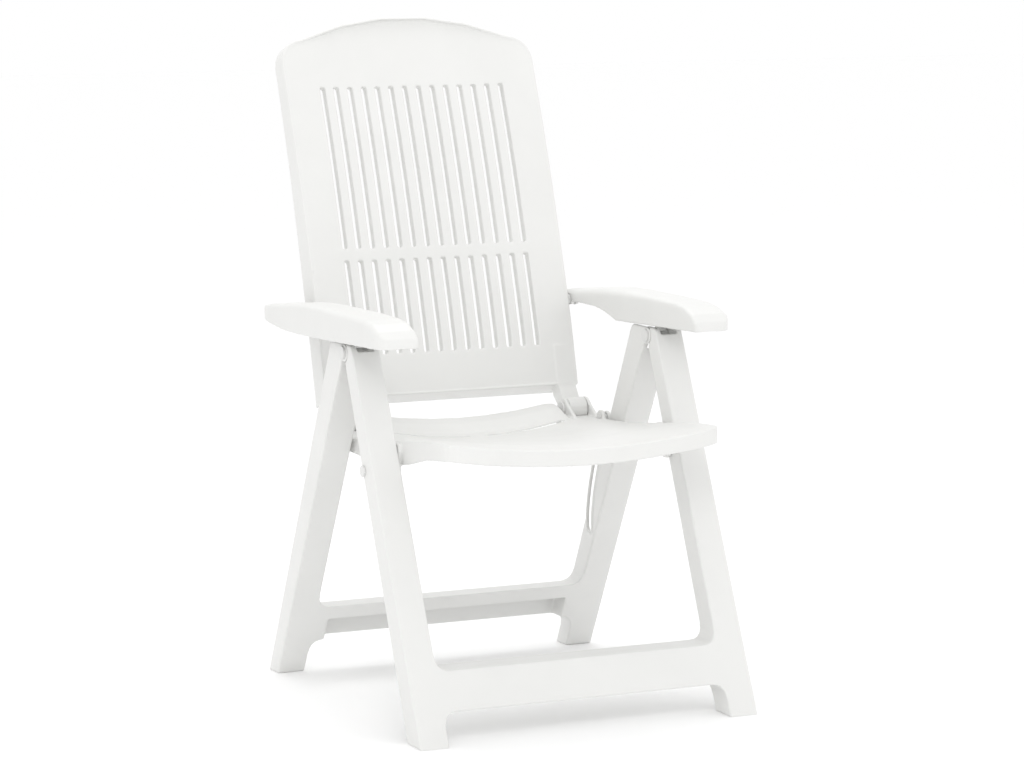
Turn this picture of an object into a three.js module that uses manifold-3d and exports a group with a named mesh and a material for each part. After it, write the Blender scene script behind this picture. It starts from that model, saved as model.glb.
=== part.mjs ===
// Folding, reclining garden armchair in moulded plastic. Millimetres, +Z up, the sitter faces -Y.
//
// The legs cross like scissors at the leg pivot. Leg pivot, seat pivot, back hinge and arm pivot are the
// corners of a parallelogram, so the chair folds flat as the rear legs swing in. Under each arm a notched
// rack rests on the leg pivot pin, and the back reclines as the pin moves from notch to notch.

import * as THREE from 'three';
import { mergeVertices } from 'three/addons/utils/BufferGeometryUtils.js';
import Module from 'manifold-3d';

const wasm = await Module();
wasm.setup();
const { degToRad, radToDeg, smoothstep, lerp, clamp } = THREE.MathUtils;

// ---------------------------------------------------------------- driving dimensions

// Walls and fits
const wall = 4; // frames and seat
const skirtWall = 3.5; // armrests
const ribWall = 3; // stiffening ribs
const runningGap = 0.5; // between faces that turn against each other
const boreGap = 0.3; // round a pin
const sideGap = 7; // between the seat and the legs
const segmentsRound = 16;

// Stance, seen from the side
const frameWidth = 588; // outside to outside of the legs
const legWidth = 49;
const frontFoot = { y: -302, depth: 53 };
const rearFoot = { y: 345, depth: 40 };
const frontLegTopDepth = 40;
const rearLegTopDepth = 60;
const legHead = 15; // height of the leg tops over the pivot, and the radius of their cheeks

// Linkage
const legPivot = { y: 4, z: 580 };
const seatPivotPlace = { z: 402, inside: 6.36 }; // in front of the rear edge of the front leg
const slidePinPlace = { z: 424, behind: 7.4 }; // behind the rear face of the rear leg
const backHingePlace = { z: 434, behindSlide: 56.02 };
const legFold = 39; // degrees that the rear legs swing in
const seatFold = 90; // degrees that the seat swings down meanwhile
const recline = 36; // degrees from the upright position to the lowest
const armShare = 0.644; // degrees that the arm turns against the back, for each degree of recline
const reclinePositions = 5;

// Crossbars
const frontBar = { bottom: 50, top: 110, fillet: 24 };
const rearBar = { bottom: 58, top: 120, fillet: 24, skirt: 24 };

// Pins
const pivotPin = { radius: 6, head: 11, headThickness: 2.5 };
const seatPin = { radius: 5, head: 9, headThickness: 3 };
const hingePin = { radius: 9, head: 13, headThickness: 3.5 };
const armPin = { radius: 8, head: 10.5, headThickness: 4 };
const slideShaft = { radius: 4, head: 7, headThickness: 2.5 };
const roller = { radius: 7, gap: 0.8 };
const capSocket = 1.2; // depth of pin end held in a cap or clip
const capThickness = 2.8;

// Seat
const seatPlan = { front: -284, behindHinge: 11, corner: 34, rearCorner: 14 };
const seatRise = { front: 48.5, middle: 31 }; // of the seat over its pivot, along the middle
const seatSink = 23; // of the seat under the back hinge, at the slots
const seatKick = 19.5; // rise of the rear edge over the slots
const seatDish = { front: 21, rear: 14, width: 160, lip: 5 };
const seatSkirt = { front: 26, side: 29, pivot: 40, rear: 22 };
const seatRibDepth = 16;
const seatEar = { thickness: 6, radius: 14, spread: 24 };
const seatSlot = { beforeHinge: 71, width: 11, inner: 20, outer: 158, bow: 10 };

// Back
const armPivotDepth = 24.89; // how far the arm pivot lies behind the hinge line, in the back
const backInset = 12; // from the inner faces of the legs
const backHeight = 660; // hinge to top corner, along the back
const crown = 44; // rise of the arched top over its corners
const backCorner = 42;
const panel = { hollow: 9, lowerEdge: 45, edgeSlope: 0.12 };
const flange = { lower: 48, upper: 36 };
const slats = { gaps: 14, pitch: 25.4, gap: 9, depth: 16, wall: 2.5 };
const slatRows = [{ from: 116, to: 277 }, { from: 297, to: 580 }];
const knuckle = { radius: 20, width: 33, inset: 5, gap: 1.5 };
const hingeEar = { thickness: 6, gap: 0.8 };

// Arms
const armPlan = { forward: 469, back: 56, innerGap: 1, overhang: 14, frontCorner: 28, rearRadius: 32 };
const armEdge = { outer: 11, innerFront: 6, innerRear: 14 }; // radii along the long edges
const armRoof = 4;
// Side view of an arm: places behind the arm pivot, and heights over the leg tops
const armTopLine = [
  [-469, 13], [-465, 25], [-451, 37], [-427, 46], [-397, 50], [-314, 51], [-194, 50], [-139, 48], [-87, 44],
  [-36, 38], [11, 33.5], [38, 29], [51, 24], [56, 17],
];
const armUnderLine = [[-469, 10], [-451, 9], [-348, 5], [-178, -2], [-61, -4], [-2, 0], [39, 5], [56, 13]];
const rack = { thickness: 18, clear: 1.2, notch: 4.5, end: 16, lift: 5 };

// ---------------------------------------------------------------- values that follow

const legOuter = frameWidth / 2;
const legInner = legOuter - legWidth;
const legMiddle = (legOuter + legInner) / 2;
const seatHalf = legInner - sideGap;
const earLap = seatHalf - 1; // inner face of the ears at the seat pivot
const slideEar = seatHalf - seatEar.thickness; // inner face of the ears at the slide pin
const backHalf = legInner - backInset;
const knuckleOuter = backHalf - knuckle.inset;
const knuckleInner = knuckleOuter - knuckle.width;
const earOuter = knuckleOuter + hingeEar.gap + hingeEar.thickness;
const earInner = knuckleInner - hingeEar.gap - hingeEar.thickness;
const armInner = legInner - skirtWall - armPlan.innerGap;
const armOuter = legOuter + armPlan.overhang;
const armBoss = armInner + 3 * skirtWall; // inner end of the boss round the arm pivot pin

// Slopes of the leg faces, seen from the side
const lineAt = (from, to, z) => from + (to - from) * z / legPivot.z;
const frontLegBack = (z) => lineAt(frontFoot.y + frontFoot.depth, legPivot.y, z);
const frontLegFront = (z) => lineAt(frontFoot.y, legPivot.y - frontLegTopDepth, z);
const rearLegBack = (z) => lineAt(rearFoot.y, legPivot.y + rearLegTopDepth, z);
const rearLegFront = (z) => lineAt(rearFoot.y - rearFoot.depth, legPivot.y, z);
const seatPivot = { y: frontLegBack(seatPivotPlace.z) - seatPivotPlace.inside, z: seatPivotPlace.z };
const slidePin = { y: rearLegBack(slidePinPlace.z) + slidePinPlace.behind, z: slidePinPlace.z };
const backHinge = { y: slidePin.y + backHingePlace.behindSlide, z: backHingePlace.z };
const seatRear = backHinge.y + seatPlan.behindHinge;
const seatSlotY = backHinge.y - seatSlot.beforeHinge;
const armPivot = {
  y: backHinge.y + legPivot.y - seatPivot.y,
  z: backHinge.z + legPivot.z - seatPivot.z,
};
const armFront = armPivot.y - armPlan.forward;
const armRear = armPivot.y + armPlan.back;
const pivotRise = new THREE.Vector2(armPivot.z - backHinge.z, armPivot.y - backHinge.y);
const backTilt = radToDeg(pivotRise.angle() - Math.asin(armPivotDepth / pivotRise.length()));
const legTop = legPivot.z + legHead;
const cheekThickness = wall + 1;
const pinGap = boreGap; // between a pin's head and the part it holds
const rackSwing = rack.end + 8; // radius that the end of a rack needs round the leg pivot
const headGap = legHead + 2; // radius kept free round the cheeks of the other leg

const plastic = {
  body: { color: 0xf4f4f2, roughness: 0.42, metalness: 0 },
  pin: { color: 0xe9e9e6, roughness: 0.35, metalness: 0 },
};

// ---------------------------------------------------------------- solids

function toSolid(geometry) {
  const bare = new THREE.BufferGeometry();
  bare.setAttribute('position', geometry.getAttribute('position'));
  if (geometry.index) {
    bare.setIndex(geometry.index);
  }
  const merged = mergeVertices(bare, 1e-4);
  return new wasm.Manifold(new wasm.Mesh({
    numProp: 3,
    vertProperties: new Float32Array(merged.getAttribute('position').array),
    triVerts: new Uint32Array(merged.index.array),
  }));
}

function toGeometry(solid) {
  const mesh = solid.getMesh();
  const geometry = new THREE.BufferGeometry();
  geometry.setAttribute('position', new THREE.BufferAttribute(new Float32Array(mesh.vertProperties), 3));
  geometry.setIndex(new THREE.BufferAttribute(new Uint32Array(mesh.triVerts), 1));
  geometry.computeVertexNormals();
  return geometry;
}

const join = (solids) => solids.reduce((sum, solid) => sum.add(solid));

function cut(solid, tools) {
  return tools.reduce((rest, tool) => rest.subtract(tool), solid);
}

// Extrudes an outline of (first, second) coordinates along X, Y or Z between two places.
const axisFrames = {
  x: [[0, 1, 0], [0, 0, 1], [1, 0, 0]],
  y: [[1, 0, 0], [0, 0, 1], [0, -1, 0]],
  z: [[1, 0, 0], [0, 1, 0], [0, 0, 1]],
};

function prism(outline, axis, from, to) {
  const shape = outline instanceof THREE.Shape ? outline : new THREE.Shape(outline.map(toVector2));
  const [low, high] = from < to ? [from, to] : [to, from];
  const geometry = new THREE.ExtrudeGeometry(shape, {
    depth: high - low,
    bevelEnabled: false,
    curveSegments: 5,
  });
  const [first, second, third] = axisFrames[axis].map((values) => new THREE.Vector3(...values));
  geometry.applyMatrix4(new THREE.Matrix4().makeBasis(first, second, third));
  const start = axis === 'y' ? -high : low;
  geometry.translate(...third.multiplyScalar(start).toArray());
  return toSolid(geometry);
}

const toVector2 = ([first, second]) => new THREE.Vector2(first, second);

function block(x, y, z) {
  const geometry = new THREE.BoxGeometry(x[1] - x[0], y[1] - y[0], z[1] - z[0]);
  geometry.translate((x[0] + x[1]) / 2, (y[0] + y[1]) / 2, (z[0] + z[1]) / 2);
  return toSolid(geometry);
}

// A round bar along X, centred on a pivot.
function bar(pivot, radius, from, to) {
  const geometry = new THREE.CylinderGeometry(radius, radius, Math.abs(to - from), segmentsRound);
  geometry.rotateZ(Math.PI / 2);
  geometry.translate((from + to) / 2, pivot.y, pivot.z);
  return toSolid(geometry);
}

// A closed sheet over a grid of (u, v), between two surfaces given as points.
function sheet(uValues, vValues, lower, upper) {
  const rows = vValues.length;
  const positions = [];
  for (const surface of [lower, upper]) {
    for (const u of uValues) {
      for (const v of vValues) {
        positions.push(...surface(u, v));
      }
    }
  }
  const layer = uValues.length * rows;
  const at = (i, j, top) => i * rows + j + (top ? layer : 0);
  const faces = [];
  const quad = (a, b, c, d) => faces.push(a, b, c, a, c, d);
  for (let i = 0; i + 1 < uValues.length; i += 1) {
    for (let j = 0; j + 1 < rows; j += 1) {
      quad(at(i, j, true), at(i + 1, j, true), at(i + 1, j + 1, true), at(i, j + 1, true));
      quad(at(i, j), at(i, j + 1), at(i + 1, j + 1), at(i + 1, j));
    }
    quad(at(i, 0), at(i + 1, 0), at(i + 1, 0, true), at(i, 0, true));
    quad(at(i + 1, rows - 1), at(i, rows - 1), at(i, rows - 1, true), at(i + 1, rows - 1, true));
  }
  const last = uValues.length - 1;
  for (let j = 0; j + 1 < rows; j += 1) {
    quad(at(0, j + 1), at(0, j), at(0, j, true), at(0, j + 1, true));
    quad(at(last, j), at(last, j + 1), at(last, j + 1, true), at(last, j, true));
  }
  const geometry = new THREE.BufferGeometry();
  geometry.setAttribute('position', new THREE.Float32BufferAttribute(positions, 3));
  geometry.setIndex(faces);
  return toSolid(geometry);
}

function steps(from, to, count) {
  return Array.from({ length: count + 1 }, (_, i) => from + (to - from) * i / count);
}

// The height of a curve over a place along its first axis, by bisection.
function heightOn(curve, place) {
  let low = 0;
  let high = 1;
  for (let i = 0; i < 24; i += 1) {
    const middle = (low + high) / 2;
    if (curve.getPoint(middle).x < place) {
      low = middle;
    } else {
      high = middle;
    }
  }
  return curve.getPoint(low).y;
}

// A polygon whose corners are rounded, each by the radius given as its third number.
function roundedShape(corners) {
  const shape = new THREE.Shape();
  corners.forEach(([x, y, radius = 0], i) => {
    const corner = new THREE.Vector2(x, y);
    const before = toVector2(corners[(i + corners.length - 1) % corners.length]).sub(corner);
    const after = toVector2(corners[(i + 1) % corners.length]).sub(corner);
    const reach = Math.min(radius, before.length() * 0.49, after.length() * 0.49);
    const start = corner.clone().addScaledVector(before.normalize(), reach);
    const end = corner.clone().addScaledVector(after.normalize(), reach);
    if (i === 0) {
      shape.moveTo(start.x, start.y);
    } else {
      shape.lineTo(start.x, start.y);
    }
    if (reach > 0) {
      shape.quadraticCurveTo(corner.x, corner.y, end.x, end.y);
    }
  });
  shape.closePath();
  return shape;
}

// The outline of a band of one half-width along a row of points, with round ends.
function band(points, half) {
  const vectors = points.map(toVector2);
  const direction = (i) => vectors[Math.min(i + 1, vectors.length - 1)].clone()
    .sub(vectors[Math.max(i - 1, 0)]).normalize();
  const offset = (i, angle) => vectors[i].clone()
    .addScaledVector(direction(i).rotateAround(new THREE.Vector2(), angle), half);
  const right = vectors.map((_, i) => offset(i, -Math.PI / 2));
  const left = vectors.map((_, i) => offset(i, Math.PI / 2)).reverse();
  const capAngles = steps(-Math.PI / 2, Math.PI / 2, 8).slice(1, -1);
  const endCap = capAngles.map((angle) => offset(vectors.length - 1, angle));
  const startCap = capAngles.map((angle) => offset(0, angle + Math.PI));
  return new THREE.Shape([...right, ...endCap, ...left, ...startCap]);
}

// Turns a side-view point about a pivot; positive angles lift the rear of the part.
function turn(point, pivot, degrees) {
  const cos = Math.cos(degToRad(degrees));
  const sin = Math.sin(degToRad(degrees));
  const y = point.y - pivot.y;
  const z = point.z - pivot.z;
  return { y: pivot.y + y * cos - z * sin, z: pivot.z + y * sin + z * cos };
}

// Both ends of a span from one distance off the middle plane to another, on the given side.
const spanX = (side, near, far) => (side > 0 ? [near, far] : [-far, -near]);

// ---------------------------------------------------------------- leg frames

// A leg frame is the part of a ladder outline that lies inside its side profile.
function ladder(crossbar) {
  const fillet = crossbar.fillet;
  const up = legTop + 1;
  return roundedShape([
    [-legOuter, 0], [-legInner, 0], [-legInner, crossbar.bottom, fillet], [legInner, crossbar.bottom, fillet],
    [legInner, 0], [legOuter, 0], [legOuter, up], [legInner, up], [legInner, crossbar.top, fillet],
    [-legInner, crossbar.top, fillet], [-legInner, up], [-legOuter, up],
  ]);
}

const frontProfile = [
  [frontFoot.y, 0], [frontFoot.y + frontFoot.depth, 0], [legPivot.y, legPivot.z],
  [legPivot.y, legTop], [legPivot.y - frontLegTopDepth + legHead / 2, legTop, 8],
];
const rearProfile = [
  [rearFoot.y - rearFoot.depth, 0], [rearFoot.y, 0], [legPivot.y + rearLegTopDepth - legHead / 2, legTop, 12],
  [legPivot.y, legTop], [legPivot.y, legPivot.z],
];

// Cells that hollow a leg from behind, leaving its front wall, its sides, a sole and cross ribs.
function legCells(foot, head, ribs) {
  const start = toVector2(foot);
  const run = toVector2(head).sub(start);
  const along = run.clone().normalize();
  const inward = new THREE.Vector2(along.y, -along.x);
  const from = wall / along.y + 1;
  const cell = (run.length() - from) / (ribs + 1);
  const reach = legWidth * 2;
  const overSole = block([-legOuter, legOuter], [-legPivot.z, legPivot.z], [wall, legTop + legWidth]);
  return steps(0, ribs, ribs).flatMap((i) => {
    const low = from + i * cell + (i > 0 ? ribWall : 0);
    const high = from + (i + 1) * cell + (i === ribs ? legWidth : 0);
    const corner = (distance, depth) => start.clone().addScaledVector(along, distance)
      .addScaledVector(inward, depth).toArray();
    const outline = [corner(low, wall), corner(high, wall), corner(high, reach), corner(low, reach)];
    return [-1, 1].map((side) => prism(outline, 'x', ...spanX(side, legInner + wall, legOuter - wall))
      .intersect(overSole));
  });
}

const thickAcross = (near, far) => wall * Math.hypot(1, (far - near) / legPivot.z);

// Cells that hollow the front crossbar from behind, between its ribs.
function frontBarCells(ribs) {
  const half = legInner - frontBar.fillet;
  const cell = 2 * half / (ribs + 1);
  const skin = thickAcross(frontFoot.y, legPivot.y - frontLegTopDepth);
  const y = [frontLegFront(frontBar.top) + skin, legPivot.y];
  return steps(0, ribs, ribs).map((i) => {
    const left = -half + i * cell + (i > 0 ? ribWall : 0);
    return block([left, -half + (i + 1) * cell], y, [frontBar.bottom + wall, frontBar.top - wall]);
  });
}

// The channel in the rear crossbar, open below and in front, under a short front skirt.
function rearBarChannel() {
  const half = legInner - rearBar.fillet;
  const skin = thickAcross(rearFoot.y, legPivot.y + rearLegTopDepth);
  const low = rearBar.bottom - 1;
  const lip = rearBar.top - rearBar.skirt;
  const roof = rearBar.top - wall;
  return prism([
    [rearLegFront(low) - wall, low], [rearLegBack(low) - skin, low], [rearLegBack(roof) - skin, roof],
    [rearLegFront(roof) + skin, roof], [rearLegFront(lip) + skin, lip], [rearLegFront(lip) - wall, lip],
  ], 'x', -half, half);
}

function pivotBores(radius) {
  return [-1, 1].map((side) => bar(legPivot, radius, ...spanX(side, legInner - 1, legOuter + 1)));
}

function makeFrontFrame() {
  const profile = prism(roundedShape(frontProfile), 'x', -legOuter, legOuter);
  const outline = prism(ladder(frontBar), 'y', frontFoot.y - 10, legPivot.y + 50);
  const cells = [
    ...legCells([frontFoot.y, 0], [legPivot.y - frontLegTopDepth, legPivot.z], 6),
    ...frontBarCells(5),
  ];
  const hollow = cut(profile.intersect(outline), cells);
  const cheekProfile = prism(
    [[legPivot.y - frontLegTopDepth, legPivot.z - 60], [legPivot.y, legPivot.z - 60],
      [legPivot.y, legTop], [legPivot.y - frontLegTopDepth, legTop]],
    'x', -legOuter, legOuter,
  );
  const cheekLayers = [-1, 1].flatMap((side) => [
    [legInner + wall - 1, legInner + wall + runningGap + cheekThickness],
    [legOuter - wall - runningGap - cheekThickness, legOuter - wall + 1],
  ].map((layer) => spanX(side, ...layer)));
  const cheeks = cheekLayers.flatMap((layer) => [
    bar(legPivot, legHead, ...layer),
    profile.intersect(cheekProfile).intersect(block(layer, [legPivot.y - 100, legPivot.y + 1], [0, legTop])),
  ]);
  const clearances = [-1, 1].flatMap((side) => [
    bar(legPivot, headGap, ...spanX(side, legInner - 1, legInner + wall + runningGap)),
    bar(legPivot, headGap, ...spanX(side, legOuter - wall - runningGap, legOuter + 1)),
    rackSlot(side, [legPivot.y - rackSwing, legPivot.y + legHead], rackSwing),
    rackSlot(side, [legPivot.y - frontLegTopDepth - legHead, legPivot.y], -rack.lift),
  ]);
  const seatBores = [-1, 1].map((side) => bar(
    seatPivot, seatPin.radius + boreGap, ...spanX(side, legInner - 1, legOuter + 1),
  ));
  const tubes = [-1, 1].map((side) => bar(
    seatPivot, seatPin.radius + wall, ...spanX(side, legInner, legOuter),
  ));
  return cut(join([hollow, ...cheeks, ...tubes]), [
    ...clearances, ...seatBores, ...pivotBores(pivotPin.radius + boreGap),
  ]);
}

// The gap between the cheeks, in which the rack of the arm moves.
function rackSlot(side, y, depth) {
  const inset = wall + runningGap + cheekThickness;
  return block(spanX(side, legInner + inset, legOuter - inset), y, [legPivot.z - depth, legTop + 1]);
}

// Where the slide pin lies on the rear leg as the chair folds, as seen with the leg at rest.
function slidePath() {
  return steps(0, 1, 10).map((share) => {
    const moved = turn(slidePin, seatPivot, -seatFold * share);
    const onLeg = turn(moved, legPivot, legFold * share);
    return [onLeg.y, onLeg.z];
  });
}

function makeRearFrame() {
  const profile = prism(roundedShape(rearProfile), 'x', -legOuter, legOuter);
  const outline = prism(ladder(rearBar), 'y', legPivot.y - 10, rearFoot.y + 50);
  const cells = [
    ...legCells([rearFoot.y - rearFoot.depth, 0], [legPivot.y, legPivot.z], 6),
    rearBarChannel(),
  ];
  const hollow = cut(profile.intersect(outline), cells);
  const rim = roller.radius + roller.gap + wall;
  const path = slidePath();
  const rims = [-1, 1].map((side) => prism(
    band(path, rim), 'x', ...spanX(side, legInner - wall + 1, legInner + wall),
  ));
  const slots = [-1, 1].map((side) => prism(
    band(path, roller.radius + roller.gap), 'x', ...spanX(side, legInner - wall, legInner + 2 * wall),
  ));
  const cheeks = [-1, 1].flatMap((side) => [
    bar(legPivot, legHead, ...spanX(side, legInner, legInner + wall)),
    bar(legPivot, legHead, ...spanX(side, legOuter - wall, legOuter)),
  ]);
  const clearances = [-1, 1].flatMap((side) => [
    bar(legPivot, headGap, ...spanX(side, legInner + wall, legOuter - wall)),
    rackSlot(side, [legPivot.y - legHead, legPivot.y + rearLegTopDepth + 2 * legHead], rackSwing),
  ]);
  return cut(join([hollow, ...cheeks, ...rims]), [
    ...slots, ...clearances, ...pivotBores(pivotPin.radius + boreGap),
  ]);
}

// ---------------------------------------------------------------- seat

const seatLine = new THREE.SplineCurve([
  [seatPlan.front - 40, seatPivot.z + seatRise.front + 2],
  [seatPlan.front + 12, seatPivot.z + seatRise.front],
  [(seatPlan.front + seatPivot.y) / 2 + 70, seatPivot.z + seatRise.middle],
  [seatSlotY - 60, backHinge.z - seatSink + 1],
  [seatRear + 40, backHinge.z - seatSink],
].map(toVector2));

function seatSurface(x, y) {
  const share = clamp((y - seatPlan.front) / (seatSlotY - seatPlan.front), 0, 1);
  const frontDish = seatDish.front * (x / seatHalf) ** 2;
  const rearDish = seatDish.rear * Math.min(1, (x / seatDish.width) ** 2);
  const lip = seatDish.lip * Math.exp(-(((y - seatPlan.front) / 50) ** 2));
  const kick = seatKick * smoothstep(y, seatSlotY + 4, seatRear - 8)
    * (1 - smoothstep(Math.abs(x), earInner - 14, earInner - 3));
  return heightOn(seatLine, y) + lerp(frontDish, rearDish, share) - lip + kick;
}

function seatLayer(depth, extra) {
  const halfXs = [50, 105, seatDish.width, earInner - 13, earInner - 3, seatHalf + 2];
  const xs = [...halfXs.map((x) => -x).reverse(), 0, ...halfXs];
  const ys = [
    ...[-2, 10, 25, 45, 90, 160, 240, 330].map((run) => seatPlan.front + run),
    ...[0, 18, 36, 54, 72].map((run) => seatSlotY + run), seatRear + 2,
  ];
  const surface = (drop) => (u, v) => [u, v, seatSurface(u, v) - drop(v)];
  return sheet(xs, ys, surface(depth), surface(() => extra));
}

// How far the skirt hangs below the top of the seat.
function skirtDepth(y) {
  if (y < seatPivot.y) {
    const share = smoothstep(y, seatPlan.front + 60, seatPivot.y - 12);
    const front = lerp(seatSkirt.front, seatSkirt.side, smoothstep(y, seatPlan.front, seatPlan.front + 60));
    return lerp(front, seatSkirt.pivot, share);
  }
  return lerp(seatSkirt.pivot, seatSkirt.rear, smoothstep(y, seatPivot.y + 20, slidePin.y));
}

function seatOutline(inset) {
  const half = seatHalf - inset;
  const front = seatPlan.front + inset;
  const rear = seatRear - inset;
  const corner = Math.max(seatPlan.corner - inset, 2);
  const rearCorner = Math.max(seatPlan.rearCorner - inset, 2);
  return roundedShape([
    [-half, front, corner], [half, front, corner], [half, rear, rearCorner], [-half, rear, rearCorner],
  ]);
}

function makeSeat() {
  const low = seatPivot.z - 60;
  const high = seatPivot.z + 2 * seatRise.front;
  const plan = (inset) => prism(seatOutline(inset), 'z', low, high);
  const shell = plan(0).intersect(seatLayer(() => wall, 0));
  const skirt = plan(0).subtract(plan(wall)).intersect(seatLayer(skirtDepth, 1));
  const ribXs = steps(-seatHalf / 2, seatHalf / 2, 2);
  const ribYs = steps(seatPlan.front + 120, seatSlotY - 40, 2);
  const across = (middle) => [middle - ribWall / 2, middle + ribWall / 2];
  const ribBlocks = [
    ...ribXs.map((x) => block(across(x), [seatPlan.front + 1, ribYs.at(-1)], [low, high])),
    ...ribYs.map((y) => block([-seatHalf + 1, seatHalf - 1], across(y), [low, high])),
  ];
  const ribs = join(ribBlocks).intersect(seatLayer(() => seatRibDepth, 1));
  const pivotEars = [-1, 1].map((side) => seatEarSolid(side, seatPivot, earLap, legInner - 2 * runningGap));
  const slideEars = [-1, 1].map((side) => seatEarSolid(side, slidePin, slideEar, seatHalf));
  const hingeEars = [-1, 1].flatMap((side) => hingeEarSpans(side).map(hingeEarSolid));
  const notches = [-1, 1].flatMap((side) => [
    bar(backHinge, knuckle.radius + knuckle.gap, ...spanX(side, earInner + 1, earOuter - 1)),
    block(
      spanX(side, earInner + 1, earOuter - 1), [backHinge.y, seatRear + 1],
      [backHinge.z - knuckle.radius - 2 * knuckle.gap, backHinge.z],
    ),
    bar(backHinge, hingePin.head + 1, ...spanX(side, earInner - hingePin.headThickness - 2, earInner + 1)),
    bar(backHinge, hingePin.head + 1, ...spanX(side, earOuter - 1, seatHalf + 1)),
    bar(seatPivot, seatPin.head + 1, ...spanX(side, seatHalf - 2 * wall, seatHalf)),
  ]);
  const slots = [-1, 1].map((side) => prism(
    band(steps(0, 1, 6).map((share) => {
      const x = lerp(seatSlot.inner, seatSlot.outer, share);
      return [side * x, seatSlotY + seatSlot.bow * share ** 2];
    }), seatSlot.width / 2),
    'z', low, high,
  ));
  const bores = [-1, 1].flatMap((side) => [
    bar(seatPivot, seatPin.radius + boreGap, ...spanX(side, slideEar - 1, legInner)),
    bar(slidePin, slideShaft.radius + boreGap, ...spanX(side, slideEar - 1, legInner)),
    bar(slidePin, slideShaft.head + 1, ...spanX(side, slideEar - slideShaft.headThickness - 2, slideEar)),
    bar(backHinge, hingePin.radius + boreGap, ...spanX(side, earInner - 1, earOuter + 1)),
  ]);
  const body = join([shell, skirt, ribs]);
  return cut(join([cut(body, [...notches, ...slots]), ...pivotEars, ...slideEars, ...hingeEars]), bores);
}

// A lug on the side of the seat, round about the pin that it carries.
function seatEarSolid(side, pivot, inner, outer) {
  const surface = seatSurface(seatHalf, pivot.y) - 2;
  const outline = roundedShape([
    [pivot.y - seatEar.spread, surface], [pivot.y - seatEar.radius, pivot.z - seatEar.radius, seatEar.radius],
    [pivot.y + seatEar.radius, pivot.z - seatEar.radius, seatEar.radius], [pivot.y + seatEar.spread, surface],
  ]);
  const x = spanX(side, inner, outer);
  return prism(outline, 'x', ...x).add(bar(pivot, seatEar.radius, ...x));
}

const hingeEarSpans = (side) => [
  spanX(side, earInner, earInner + hingeEar.thickness),
  spanX(side, earOuter - hingeEar.thickness, earOuter),
];

function hingeEarSolid(span) {
  const radius = knuckle.radius;
  const footY = backHinge.y - 2.6 * radius;
  const footZ = seatSurface(seatHalf, footY) - 1;
  const foot = [
    [footY, footZ - wall + 2], [footY, footZ], [backHinge.y - radius * 0.6, backHinge.z + radius * 0.7],
    [backHinge.y, backHinge.z - radius * 0.9],
    [backHinge.y - radius, Math.min(footZ - 2, backHinge.z - radius * 0.6)],
  ];
  return bar(backHinge, radius, ...span).add(prism(foot, 'x', ...span));
}

// ---------------------------------------------------------------- back

// The back is shaped in its own frame: y is the distance behind the hinge line, z the height along the back.
const backLine = new THREE.SplineCurve([
  [0, 19], [60, 14], [190, 8], [420, 10], [590, 20], [backHeight + crown + 10, 31],
].map(toVector2));
const backFront = (z) => heightOn(backLine, z);

const flangeDepth = (z) => lerp(flange.lower, flange.upper, smoothstep(z, 150, backHeight));

function backSurface(offset, hollow) {
  return (x, z) => [x, backFront(z) + hollow * (1 - (x / backHalf) ** 2) + offset(z), z];
}

function backLayer(from, to, hollow, width, bottom) {
  const xs = steps(-width, width, 6);
  const zs = steps(bottom, backHeight + crown + 6, 10);
  return sheet(zs, xs, flip(backSurface(from, hollow)), flip(backSurface(to, hollow)));
}

const flip = (surface) => (z, x) => surface(x, z);

// The front outline of the back: straight sides and an arched top. It runs past the lower edge.
function backOutline(inset) {
  const half = backHalf - inset;
  const corner = Math.max(backCorner - inset, 2);
  const top = backHeight - inset;
  const shape = new THREE.Shape();
  shape.moveTo(-half, 0);
  shape.lineTo(half, 0);
  shape.lineTo(half, top - corner);
  shape.quadraticCurveTo(half, top, half - corner, top + crown * 0.12);
  shape.quadraticCurveTo(0, top + 2 * crown - crown * 0.12, -half + corner, top + crown * 0.12);
  shape.quadraticCurveTo(-half, top, -half, top - corner);
  shape.closePath();
  return shape;
}

function makeBack() {
  const depth = 120;
  const edge = (y) => panel.lowerEdge - panel.edgeSlope * (y - backFront(panel.lowerEdge));
  const overEdge = (inset) => prism([
    [-depth, edge(-depth) + inset], [depth, edge(depth) + inset], [depth, 2 * backHeight],
    [-depth, 2 * backHeight],
  ], 'x', -backHalf - 1, backHalf + 1);
  const full = (inset) => prism(backOutline(inset), 'y', -depth, depth).intersect(overEdge(inset));
  const zero = () => 0;
  const skin = backLayer(zero, () => wall, panel.hollow, backHalf + 2, 0);
  const shell = full(0).intersect(skin);
  const rim = full(0).subtract(full(wall)).intersect(backLayer(zero, flangeDepth, 0, backHalf + 2, 0));
  const slatGaps = (border) => slatRows.flatMap((row) => steps(0, slats.gaps - 1, slats.gaps - 1).map((i) => {
    const x = (i - (slats.gaps - 1) / 2) * slats.pitch;
    const half = slats.gap / 2 + border;
    return block([x - half, x + half], [-depth, depth], [row.from - border, row.to + border]);
  }));
  const slatRims = join(slatGaps(slats.wall))
    .intersect(backLayer(() => 1, () => slats.depth, panel.hollow, backHalf + 2, 0));
  const rails = [-1, 1].map(backRail);
  const hingeBores = [-1, 1].map((side) => bar(
    { y: 0, z: 0 }, hingePin.radius + boreGap, ...spanX(side, knuckleInner - 1, knuckleOuter + 1),
  ));
  const arm = onBack(armPivot);
  const armBosses = [-1, 1].map((side) => bar(
    arm, armPin.head, ...spanX(side, backHalf - 2 * wall, backHalf),
  ));
  const armBores = [-1, 1].map((side) => bar(
    arm, armPin.radius + boreGap, ...spanX(side, backHalf - 3 * wall, backHalf + 1),
  ));
  const body = join([shell, rim, slatRims, ...rails, ...armBosses]);
  return cut(body, [...slatGaps(0), ...hingeBores, ...armBores]);
}

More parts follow.
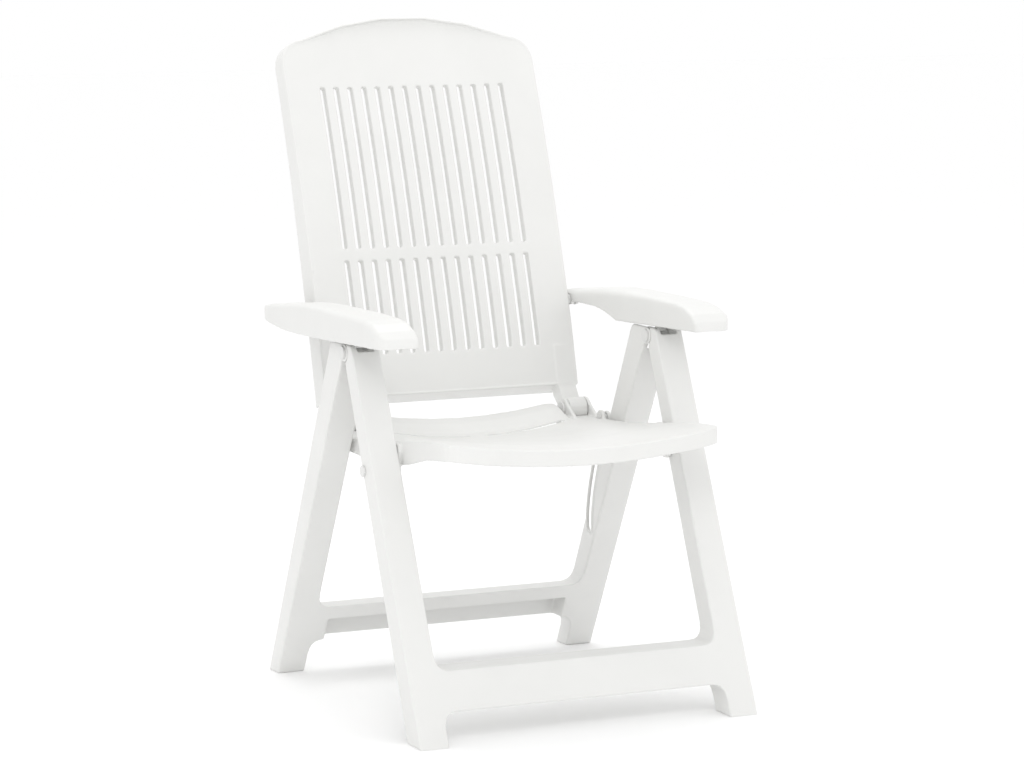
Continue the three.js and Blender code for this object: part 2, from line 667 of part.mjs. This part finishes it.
// The foot of a side rail, which ends in the hinge knuckle.
function backRail(side) {
  const top = slatRows[0].from - slats.wall;
  const front = (z) => backFront(z) + 1;
  const radius = knuckle.radius;
  const rear = backFront(panel.lowerEdge) + radius * 1.4;
  const outline = [
    [front(top), top], [front(panel.lowerEdge), panel.lowerEdge], [radius * 0.35, radius * 0.93],
    [0, 0], [radius * 0.75, -radius * 0.66], [rear, panel.lowerEdge * 0.7], [rear, top],
  ];
  const x = spanX(side, knuckleInner, knuckleOuter);
  return bar({ y: 0, z: 0 }, radius, ...x).add(prism(outline, 'x', ...x));
}

function onBack(point) {
  const turned = turn(point, backHinge, backTilt);
  return { y: turned.y - backHinge.y, z: turned.z - backHinge.z };
}

// ---------------------------------------------------------------- armrests

// Where the leg pivot pin lies under the arm, as seen with the arm at rest, after some degrees of recline.
function rackPoint(degrees) {
  const pivot = turn(armPivot, backHinge, -degrees);
  const moved = { y: legPivot.y + armPivot.y - pivot.y, z: legPivot.z + armPivot.z - pivot.z };
  return turn(moved, armPivot, degrees * (1 - armShare));
}

const overLegs = ([place, rise]) => new THREE.Vector2(armPivot.y + place, legTop + rise);
const armCrest = new THREE.SplineCurve(armTopLine.map(overLegs));
const armBelly = new THREE.SplineCurve(armUnderLine.map(overLegs));

// Everything below the top of an arm, whose long edges are rounded, less a drop.
function underTop(side, drop) {
  const fall = (distance, radius) => {
    const run = clamp(radius - distance, 0, radius);
    return radius - Math.sqrt(radius ** 2 - run ** 2);
  };
  const innerEdge = (y) => lerp(armEdge.innerFront, armEdge.innerRear, smoothstep(y, -60, 160));
  const bothFalls = (x, y) => (
    fall(Math.abs(x) - armInner, innerEdge(y)) + fall(armOuter - Math.abs(x), armEdge.outer)
  );
  const runs = [-1, 0, 0.8, 2.4, 5, 8, armEdge.outer];
  const across = [
    ...runs.map((run) => armInner + run), armInner + armEdge.innerRear,
    ...runs.map((run) => armOuter - run).reverse(),
  ];
  const xs = side > 0 ? across : across.map((x) => -x).reverse();
  const places = armTopLine.slice(1, -1).map(([place]) => armPivot.y + place);
  const ys = [armFront - 1, ...places, armRear + 1];
  const low = legPivot.z - 4 * legHead;
  const top = (x, y) => heightOn(armCrest, y) - bothFalls(x, y) - drop;
  return sheet(xs, ys, (x, y) => [x, y, low], (x, y) => [x, y, top(x, y)]);
}

function armOutline(side, inset) {
  const near = armInner + inset;
  const far = armOuter - inset;
  const front = armFront + inset;
  const rear = armRear - inset;
  const corners = [
    [near, front, 10], [far, front, armPlan.frontCorner], [far - 2, rear, armPlan.rearRadius],
    [near, rear, armPlan.rearRadius],
  ];
  return roundedShape(side > 0 ? corners : corners.map(([x, y, r]) => [-x, y, r]).reverse());
}

function makeArm(side) {
  const low = legPivot.z - 3 * legHead;
  const high = legTop + 60;
  const plan = (inset) => prism(armOutline(side, inset), 'z', low, high);
  const belly = armBelly.getPoints(14).map((point) => point.toArray());
  const overBelly = prism(
    [...belly, [armRear + 1, high], [armFront - 1, high]],
    'x', ...spanX(side, armInner - 1, armOuter + 1),
  );
  const outer = plan(0).intersect(underTop(side, 0)).intersect(overBelly);
  const pocket = plan(skirtWall).intersect(underTop(side, armRoof));
  const thickness = spanX(side, legMiddle - rack.thickness / 2, legMiddle + rack.thickness / 2);
  const positions = steps(0, 1, reclinePositions - 1).map((share) => rackPoint(recline * share));
  const shift = pivotPin.radius + rack.clear;
  const first = positions[0];
  const last = positions.at(-1);
  const rackOutline = [
    [first.y + rack.end, first.z + shift],
    ...steps(0, 1, 12).map((share) => rackPoint(recline * share)).map((p) => [p.y, p.z + shift]),
    [last.y - rack.end, last.z + shift], [last.y - rack.end, high], [first.y + rack.end, high],
  ];
  const notches = positions.map((p) => bar(
    { y: p.y, z: p.z + rack.notch }, pivotPin.radius + 1, ...thickness,
  ));
  const rib = prism(rackOutline, 'x', ...thickness).intersect(outer).subtract(join(notches));
  const boss = bar(armPivot, armPin.head - 1, ...spanX(side, armInner, armBoss));
  const guard = bar(armPivot, armPin.head, ...spanX(side, armInner, armInner + skirtWall));
  const bore = bar(armPivot, armPin.radius + boreGap, ...spanX(side, armInner - 1, armBoss + 1));
  const lowered = prism(roundedShape([
    [legPivot.y + 95, low], [legPivot.y + 95, legTop - 4, 12], [legPivot.y + 165, legTop + 14, 40],
    [armRear + 10, legTop + 14],
    [armRear + 10, low],
  ]), 'x', ...spanX(side, armInner - 1, armInner + skirtWall));
  const shell = outer.subtract(pocket).subtract(lowered);
  return cut(join([shell, guard, boss, rib]), [bore]);
}

// ---------------------------------------------------------------- pins

// A headed pin along X, from its head outwards to its plain end.
function headedPin(pivot, size, headFace, end) {
  const outward = Math.sign(end - headFace);
  return bar(pivot, size.head, headFace - outward * size.headThickness, headFace)
    .add(bar(pivot, size.radius, headFace, end));
}

// A push-on cap or clip that covers the plain end of a pin.
function pushCap(pivot, size, face, direction) {
  const depth = capSocket + boreGap;
  const socket = bar(pivot, size.radius + boreGap, face - direction, face + direction * depth);
  return bar(pivot, size.head, face, face + direction * capThickness).subtract(socket);
}

function roundRoller(pivot, radius, bore, from, to) {
  const beyond = Math.sign(to - from);
  return bar(pivot, radius, from, to).subtract(bar(pivot, bore, from - beyond, to + beyond));
}

// ---------------------------------------------------------------- assembly

const chair = new THREE.Group();
const linkage = new THREE.Group();
chair.add(linkage);

function place(name, solid, look, parent = linkage) {
  const mesh = new THREE.Mesh(toGeometry(solid), new THREE.MeshStandardMaterial(plastic[look]));
  mesh.name = name;
  parent.add(mesh);
  return mesh;
}

const leaning = new THREE.Group();
leaning.position.set(0, backHinge.y, backHinge.z);
leaning.rotation.x = -degToRad(backTilt);
linkage.add(leaning);

place('front_frame', makeFrontFrame(), 'body');
place('rear_frame', makeRearFrame(), 'body');
place('seat_shell', makeSeat(), 'body');
place('back_panel', makeBack(), 'body', leaning);

for (const [label, side] of [['left', 1], ['right', -1]]) {
  const x = (distance) => side * distance;
  place(`${label}_armrest`, makeArm(side), 'body');

  place(`${label}_leg_pivot_pin`, headedPin(
    legPivot, pivotPin, x(legInner - pinGap), x(legOuter + pinGap + capSocket),
  ), 'pin');
  place(`${label}_leg_pivot_cap`, pushCap(legPivot, pivotPin, x(legOuter + pinGap), side), 'pin');

  const seatClip = earLap - pinGap;
  place(`${label}_seat_pivot_pin`, headedPin(
    seatPivot, seatPin, x(legOuter + pinGap), x(seatClip - capSocket),
  ), 'pin');
  place(`${label}_seat_pivot_clip`, pushCap(seatPivot, seatPin, x(seatClip), -side), 'pin');

  place(`${label}_slide_pin`, headedPin(
    slidePin, slideShaft, x(slideEar - pinGap), x(legInner + wall + 2),
  ), 'pin');
  place(`${label}_slide_roller`, roundRoller(
    slidePin, roller.radius, slideShaft.radius + boreGap, x(seatHalf + runningGap), x(legInner + wall + 1),
  ), 'pin');

  place(`${label}_back_hinge_pin`, headedPin(
    backHinge, hingePin, x(earInner - pinGap), x(earOuter + pinGap + capSocket),
  ), 'pin');
  place(`${label}_back_hinge_clip`, pushCap(backHinge, hingePin, x(earOuter + pinGap), side), 'pin');

  const armClip = backHalf - 2 * wall - pinGap;
  place(`${label}_arm_pivot_pin`, headedPin(
    armPivot, armPin, x(armBoss + pinGap), x(armClip - capSocket),
  ), 'pin');
  place(`${label}_arm_pivot_clip`, pushCap(armPivot, armPin, x(armClip), -side), 'pin');
}

// The origin is on the ground, in the middle of the whole chair.
const bounds = new THREE.Box3().setFromObject(chair);
linkage.position.y = -(bounds.min.y + bounds.max.y) / 2;

export default chair;
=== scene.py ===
"""Looks of a folding, reclining garden armchair in white moulded plastic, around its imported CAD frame."""

import math

import bpy
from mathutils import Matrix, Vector


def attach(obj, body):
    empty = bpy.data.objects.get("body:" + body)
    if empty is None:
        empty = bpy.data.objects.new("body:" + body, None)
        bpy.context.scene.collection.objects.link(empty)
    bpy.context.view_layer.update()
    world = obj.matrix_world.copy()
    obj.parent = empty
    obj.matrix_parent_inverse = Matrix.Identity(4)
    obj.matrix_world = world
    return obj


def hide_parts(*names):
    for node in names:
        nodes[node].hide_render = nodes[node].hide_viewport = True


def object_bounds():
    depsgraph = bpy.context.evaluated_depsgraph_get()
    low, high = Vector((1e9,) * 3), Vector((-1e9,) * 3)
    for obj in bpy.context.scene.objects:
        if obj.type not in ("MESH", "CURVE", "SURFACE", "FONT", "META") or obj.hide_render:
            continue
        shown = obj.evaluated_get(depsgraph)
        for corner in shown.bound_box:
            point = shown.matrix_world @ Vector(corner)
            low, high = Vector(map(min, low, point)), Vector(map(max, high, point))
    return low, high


MM = 0.001

# Plastic
REFRACTION = 1.49
SPECULAR = 0.45
DARKEST_SHARE = 0.975  # of the base colour, in the flow marks
RAMP_SPAN = (0.3, 0.7)
FLOW_SCALE, SHEEN_SCALE, GRAIN_SCALE, WAVE_SCALE = 9, 24, 1800, 14
GRAIN_HEIGHT = 0.15 * MM
WAVE_HEIGHT = 1.2 * MM
WAVE_STRENGTH = 0.25

# Moulded edges
VOXEL = 1.6 * MM
SMOOTHING_STEPS = 7
KEPT_FACES = 0.2  # share of the faces left after the voxel mesh is thinned

# Stage
FLOOR_SIZE = 40
FLOOR_WHITE = 1.0
SKY_STRENGTH = 1.0

# Camera, as worked out from the photo
CAMERA_TARGET = (0, -0.0904, 0.5135)
CAMERA_AZIMUTH, CAMERA_ELEVATION = -24.89, 7.82
CAMERA_DISTANCE = 5.734
CAMERA_LENS = 124.2
SENSOR_WIDTH = 36

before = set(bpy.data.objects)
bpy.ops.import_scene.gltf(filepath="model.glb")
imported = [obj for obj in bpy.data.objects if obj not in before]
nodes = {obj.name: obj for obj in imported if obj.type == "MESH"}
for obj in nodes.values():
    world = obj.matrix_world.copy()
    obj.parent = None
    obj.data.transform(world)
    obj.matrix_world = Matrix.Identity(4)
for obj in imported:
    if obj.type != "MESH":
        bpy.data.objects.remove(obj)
cad_box = [list(corner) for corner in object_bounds()]


# ---------------------------------------------------------------- materials


def moulded_plastic(name, color, roughness, grain):
    """White moulded plastic: a fine spark-eroded grain, faint flow marks and a slightly uneven sheen."""
    material = bpy.data.materials.new(name)
    material.use_nodes = True
    tree = material.node_tree
    shader = tree.nodes["Principled BSDF"]
    shader.inputs["IOR"].default_value = REFRACTION
    shader.inputs["Specular IOR Level"].default_value = SPECULAR
    place = tree.nodes.new("ShaderNodeTexCoord")

    def noise(scale, detail, distortion=0.0):
        node = tree.nodes.new("ShaderNodeTexNoise")
        node.inputs["Scale"].default_value = scale
        node.inputs["Detail"].default_value = detail
        node.inputs["Distortion"].default_value = distortion
        tree.links.new(place.outputs["Object"], node.inputs["Vector"])
        return node.outputs["Fac"]

    def ramp(value, low, high):
        node = tree.nodes.new("ShaderNodeValToRGB")
        node.color_ramp.elements[0].position = RAMP_SPAN[0]
        node.color_ramp.elements[1].position = RAMP_SPAN[1]
        node.color_ramp.elements[0].color = low
        node.color_ramp.elements[1].color = high
        tree.links.new(value, node.inputs["Fac"])
        return node.outputs["Color"]

    flow = noise(FLOW_SCALE, 3, 0.6)
    darker = [channel * DARKEST_SHARE for channel in color]
    tree.links.new(ramp(flow, (*darker, 1), (*color, 1)), shader.inputs["Base Color"])
    low, high = roughness
    sheen = noise(SHEEN_SCALE, 4)
    tree.links.new(ramp(sheen, (low, low, low, 1), (high, high, high, 1)), shader.inputs["Roughness"])

    fine = tree.nodes.new("ShaderNodeBump")
    fine.inputs["Strength"].default_value = grain
    fine.inputs["Distance"].default_value = GRAIN_HEIGHT
    tree.links.new(noise(GRAIN_SCALE, 2), fine.inputs["Height"])
    broad = tree.nodes.new("ShaderNodeBump")
    broad.inputs["Strength"].default_value = WAVE_STRENGTH
    broad.inputs["Distance"].default_value = WAVE_HEIGHT
    tree.links.new(noise(WAVE_SCALE, 1), broad.inputs["Height"])
    tree.links.new(fine.outputs["Normal"], broad.inputs["Normal"])
    tree.links.new(broad.outputs["Normal"], shader.inputs["Normal"])
    return material


WHITE = moulded_plastic("white_plastic", (0.78, 0.78, 0.765), (0.38, 0.48), 0.3)
PIN = moulded_plastic("pin_plastic", (0.74, 0.74, 0.73), (0.28, 0.36), 0.12)


# ---------------------------------------------------------------- pieces


def moulded(name, source, body):
    """A new piece with the soft edges of a moulding, from a closed mesh object that it uses up."""
    remesh = source.modifiers.new("remesh", "REMESH")
    remesh.mode = "VOXEL"
    remesh.voxel_size = VOXEL
    smooth = source.modifiers.new("smooth", "SMOOTH")
    smooth.factor = 0.5
    smooth.iterations = SMOOTHING_STEPS
    decimate = source.modifiers.new("decimate", "DECIMATE")
    decimate.ratio = KEPT_FACES
    depsgraph = bpy.context.evaluated_depsgraph_get()
    mesh = bpy.data.meshes.new_from_object(source.evaluated_get(depsgraph))
    bpy.data.objects.remove(source)
    mesh.materials.clear()
    mesh.materials.append(WHITE)
    mesh.shade_smooth()
    piece = bpy.data.objects.new(name, mesh)
    bpy.context.scene.collection.objects.link(piece)
    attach(piece, body)
    return piece


def copy_of(node):
    copy = bpy.data.objects.new("copy_of_" + node, nodes[node].data.copy())
    bpy.context.scene.collection.objects.link(copy)
    return copy


for node, body in (
    ("front_frame", "front_frame"),
    ("rear_frame", "rear_frame"),
    ("seat_shell", "seat"),
    ("back_panel", "back"),
    ("left_armrest", "left_arm"),
    ("right_armrest", "right_arm"),
):
    piece = moulded(node + "_moulding", copy_of(node), body)
    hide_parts(node)

for name, node in nodes.items():
    if not node.hide_render:
        node.data.materials.clear()
        node.data.materials.append(PIN)


# ---------------------------------------------------------------- stage, light and camera


def plane(name, size, height):
    mesh = bpy.data.meshes.new(name)
    half = size / 2
    corners = [
        (-half, -half, height),
        (half, -half, height),
        (half, half, height),
        (-half, half, height),
    ]
    mesh.from_pydata(corners, [], [(0, 1, 2, 3)])
    made = bpy.data.objects.new(name, mesh)
    bpy.context.scene.collection.objects.link(made)
    return made


def make_stage():
    floor = plane("floor", FLOOR_SIZE, 0)
    material = bpy.data.materials.new("floor")
    material.use_nodes = True
    shader = material.node_tree.nodes["Principled BSDF"]
    shader.inputs["Base Color"].default_value = (FLOOR_WHITE, FLOOR_WHITE, FLOOR_WHITE, 1)
    shader.inputs["Roughness"].default_value = 0.9
    floor.data.materials.append(material)
    world = bpy.data.worlds.new("studio")
    world.use_nodes = True
    world.node_tree.nodes["Background"].inputs["Color"].default_value = (1, 1, 1, 1)
    world.node_tree.nodes["Background"].inputs["Strength"].default_value = SKY_STRENGTH
    bpy.context.scene.world = world


def area_light(name, place, target, size, power):
    data = bpy.data.lights.new(name, "AREA")
    data.shape = "DISK"
    data.size = size
    data.energy = power
    light = bpy.data.objects.new(name, data)
    bpy.context.scene.collection.objects.link(light)
    light.location = place
    light.rotation_euler = (Vector(target) - Vector(place)).to_track_quat("-Z", "Y").to_euler()


def make_camera(target, azimuth, elevation, distance, lens):
    data = bpy.data.cameras.new("camera")
    data.lens = lens
    data.sensor_width = SENSOR_WIDTH
    camera = bpy.data.objects.new("camera", data)
    bpy.context.scene.collection.objects.link(camera)
    turn, lift = math.radians(azimuth), math.radians(elevation)
    back = Vector((math.sin(turn) * math.cos(lift), -math.cos(turn) * math.cos(lift), math.sin(lift)))
    camera.location = Vector(target) + back * distance
    camera.rotation_euler = (-back).to_track_quat("-Z", "Y").to_euler()
    bpy.context.scene.camera = camera


make_stage()
chair_middle = (0, 0, cad_box[1][2] / 2)
area_light("key", (-1.8, -3.2, 3.0), chair_middle, 1.6, 22)
area_light("fill", (3.0, -2.2, 1.8), chair_middle, 2.5, 4)
area_light("top", (0.3, 1.0, 3.4), chair_middle, 2.5, 22)
make_camera(CAMERA_TARGET, CAMERA_AZIMUTH, CAMERA_ELEVATION, CAMERA_DISTANCE, CAMERA_LENS)
bpy.context.scene.view_settings.view_transform = "Standard"
